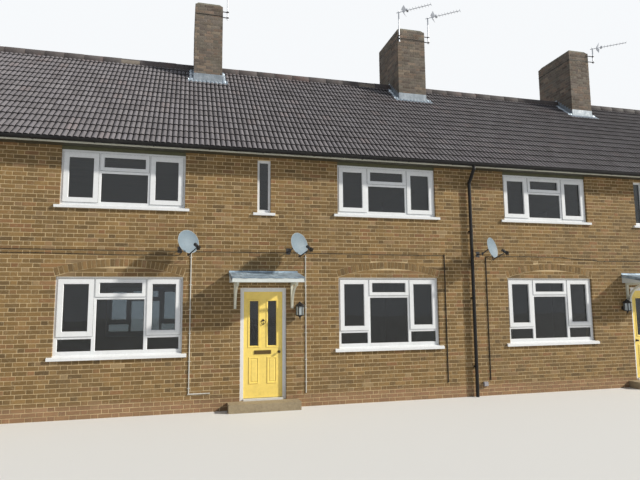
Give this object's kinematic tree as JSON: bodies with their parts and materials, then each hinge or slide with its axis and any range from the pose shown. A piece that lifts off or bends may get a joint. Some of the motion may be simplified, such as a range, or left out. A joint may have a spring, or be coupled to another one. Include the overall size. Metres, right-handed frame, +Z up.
{
  "type": "terraced house row",
  "caption": "Two-storey brick terraced house row with a tiled roof, chimney stacks, canopied front doors that swing inwards, and white windows.",
  "frame": {"origin": "middle of the row's plan at ground level", "axes": "+X along the row to the right seen from the front, +Y from front to rear, +Z up"},
  "size_m": [22.065, 7.831, 10.3213],
  "materials": {
    "brick": "weathered brickwork",
    "inner_masonry": "rough",
    "arch_brick": "weathered brickwork",
    "stack_brick": "weathered brickwork",
    "concrete": "weathered concrete",
    "mortar": "rough",
    "timber": "sawn",
    "painted_timber": "aged paint",
    "head_board": "aged paint",
    "tile": "weathered concrete tile",
    "lead": "weathered lead",
    "gutter_black": "satin",
    "white_frame": "satin",
    "threshold_metal": "brushed",
    "door_yellow": "satin",
    "door_white": "satin",
    "glass": "clear",
    "ironmongery": "satin",
    "hinge_steel": "brushed",
    "lantern_black": "satin",
    "dish_grey": "satin",
    "bracket_grey": "satin",
    "lead_sheath": "matt",
    "aerial_alloy": "weathered"
  },
  "bodies": {
    "row": {"front_wall_left": "brick", "front_wall_middle": "brick", "front_wall_right": "brick", "front_wall_at_doors": "brick", "rear_wall": "brick", "party_walls": "inner_masonry", "end_walls": "brick", "ground_floors": "concrete", "upper_floors": "timber", "wall_plates": "timber", "roof_front": "tile", "roof_rear": "tile", "ridge_tiles": "tile", "fascias": "painted_timber", "soffits": "painted_timber", "gutters": "gutter_black", "downpipes": "gutter_black", "chimneys": "stack_brick", "chimney_caps": "mortar", "lead_flashings": "lead", "aerials": "aerial_alloy", "window_arches": "arch_brick", "window_frames": "white_frame", "window_sashes": "white_frame", "window_glass": "glass", "window_sills": "white_frame", "window_heads": "head_board", "door_posts": "white_frame", "door_heads": "white_frame", "door_thresholds": "threshold_metal", "door_hinges": "hinge_steel", "outer_front_doors": "door_yellow", "back_doors": "door_white", "fixed_door_glass": "glass", "fixed_door_fittings": "ironmongery", "door_steps": "concrete", "canopies": "painted_timber", "canopy_leads": "lead", "canopy_brackets": "painted_timber", "wall_lanterns": "lantern_black", "satellite_dishes": "dish_grey", "dish_brackets": "bracket_grey", "dish_leads": "lead_sheath"},
    "door_2": {"front_door_2": "door_yellow", "front_door_2_glass": "glass", "front_door_2_fittings": "ironmongery"},
    "door_3": {"front_door_3": "door_yellow", "front_door_3_glass": "glass", "front_door_3_fittings": "ironmongery"}
  },
  "joints": [
    {"name": "door_2_hinge", "type": "hinge", "parent": "row", "child": "door_2", "pos_m": [-4.82, -3.295, 1], "axis": [0, 0, 1], "range_deg": [0, 90]},
    {"name": "door_3_hinge", "type": "hinge", "parent": "row", "child": "door_3", "pos_m": [4.82, -3.295, 1], "axis": [0, 0, -1], "range_deg": [0, 90]}
  ]
}
